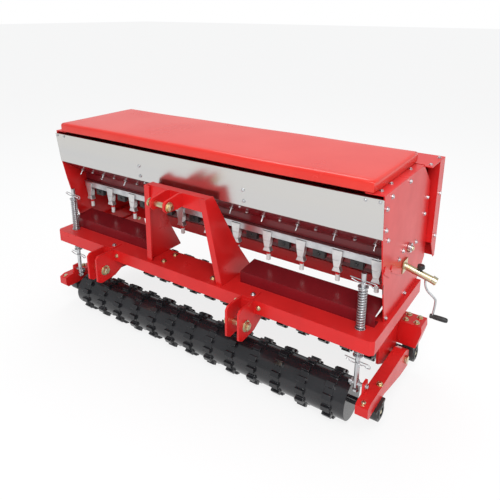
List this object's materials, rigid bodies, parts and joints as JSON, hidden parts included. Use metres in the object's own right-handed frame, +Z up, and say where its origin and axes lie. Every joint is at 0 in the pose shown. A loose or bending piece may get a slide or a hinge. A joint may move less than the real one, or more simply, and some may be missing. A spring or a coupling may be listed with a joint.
{
  "type": "seed drill",
  "caption": "Tractor-mounted seed drill: a long hopper with a hinged lid over a metering rail, between two lugged rollers, with a three-point hitch.",
  "frame": {"origin": "on the ground, under the middle of the machine's bounding box", "axes": "+Z up, +Y towards the rear of the machine, +X along the hopper towards the end with the crank"},
  "size_m": [1.649, 0.692, 0.857],
  "materials": {
    "red_paint": "gloss red paint",
    "stainless": "plain stainless sheet",
    "zinc": "bright zinc plate",
    "yellow_zinc": "yellow passivated zinc",
    "black_iron": "gloss black paint on cast iron",
    "grip": "steel wire with a black plastic grip"
  },
  "bodies": {
    "frame": {"front_beam": "red_paint", "rear_beam": "red_paint", "mast_crossbar": "red_paint", "top_link_pin": "yellow_zinc", "hopper_front_panel": "stainless", "hopper_front_wall": "red_paint", "hopper_rear_wall": "red_paint", "seed_trough": "red_paint", "feed_shaft": "zinc", "metering_rail": "zinc", "rear_cover": "red_paint", "seed_rate_adjuster": "yellow_zinc", "crank_handle": "grip", "drive_guard": "red_paint", "hopper_left_end": "red_paint", "left_side_rail": "red_paint", "left_deck_plate": "red_paint", "left_mast_leg": "red_paint", "left_lower_clevis": "red_paint", "left_lower_link_pin": "yellow_zinc", "left_front_arm": "red_paint", "left_front_bearing": "black_iron", "left_hanger": "red_paint", "left_arm_pivot_pin": "yellow_zinc", "left_rear_bracket": "red_paint", "left_rear_bearing": "black_iron", "left_spring_rod": "zinc", "left_upper_spring": "zinc", "left_lower_spring": "zinc", "hopper_right_end": "red_paint", "right_side_rail": "red_paint", "right_deck_plate": "red_paint", "right_mast_leg": "red_paint", "right_lower_clevis": "red_paint", "right_lower_link_pin": "yellow_zinc", "right_front_arm": "red_paint", "right_front_bearing": "black_iron", "right_hanger": "red_paint", "right_arm_pivot_pin": "yellow_zinc", "right_rear_bracket": "red_paint", "right_rear_bearing": "black_iron", "right_spring_rod": "zinc", "right_upper_spring": "zinc", "right_lower_spring": "zinc"},
    "lid": {"lid": "red_paint"},
    "front_roller": {"front_roller": "black_iron"},
    "rear_roller": {"rear_roller": "black_iron"}
  },
  "joints": [
    {"name": "lid_hinge", "type": "hinge", "parent": "frame", "child": "lid", "pos_m": [-0.0465, 0.1995, 0.826], "axis": [-1, 0, 0], "range_deg": [0, 95]},
    {"name": "front_roller_spin", "type": "hinge", "parent": "frame", "child": "front_roller", "pos_m": [-0.0465, -0.159, 0.083], "axis": [1, 0, 0], "continuous": true},
    {"name": "rear_roller_spin", "type": "hinge", "parent": "frame", "child": "rear_roller", "pos_m": [-0.0465, 0.201, 0.083], "axis": [1, 0, 0], "continuous": true}
  ]
}
